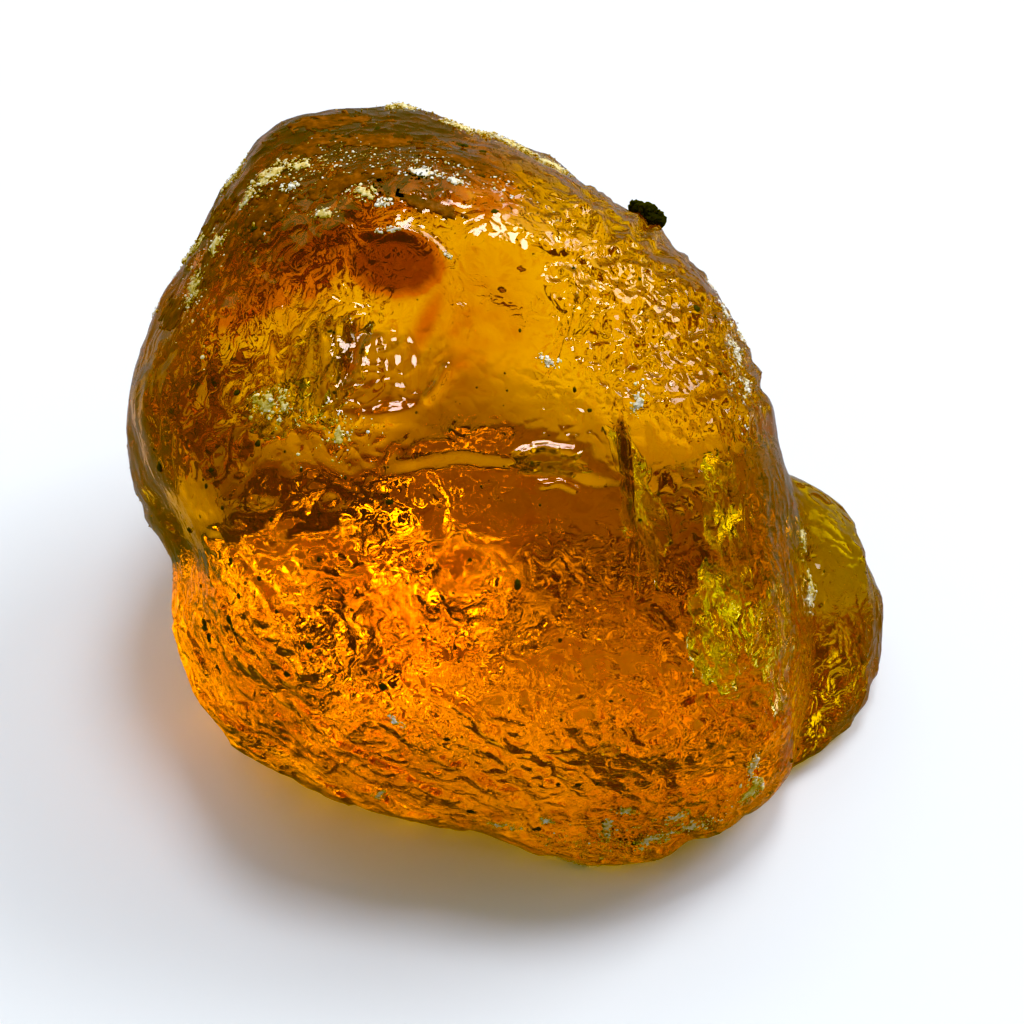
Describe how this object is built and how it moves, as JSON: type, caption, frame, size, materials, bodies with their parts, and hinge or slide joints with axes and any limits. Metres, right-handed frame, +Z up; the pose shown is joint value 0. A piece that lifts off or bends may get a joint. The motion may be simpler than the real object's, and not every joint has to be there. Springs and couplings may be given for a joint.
{
  "type": "raw amber nugget",
  "caption": "Thumb-sized raw amber nugget, rounded and unevenly faceted, with a low lobe behind one rim, patchy crust and a broad flat spot to rest on.",
  "frame": {"origin": "on the flat underside, below the nugget's middle", "axes": "+Z up, +X to the right and +Y away when looking at the broad face, which leans back and looks along -Y"},
  "size_m": [0.0315, 0.0283, 0.0224],
  "materials": {
    "amber": "clear to cloudy golden-orange fossil resin, fire-polished and pitted in patches, index 1.54, absorbing blue and green",
    "soil": "dark, dry, crumbly soil",
    "crust": "pale yellow to grey weathering crust, powdery and granular",
    "inclusion": "dark specks and small red-brown flecks in and on the resin"
  },
  "bodies": {
    "root": {"amber_nugget": "amber", "soil_crumb": "soil"}
  },
  "joints": []
}
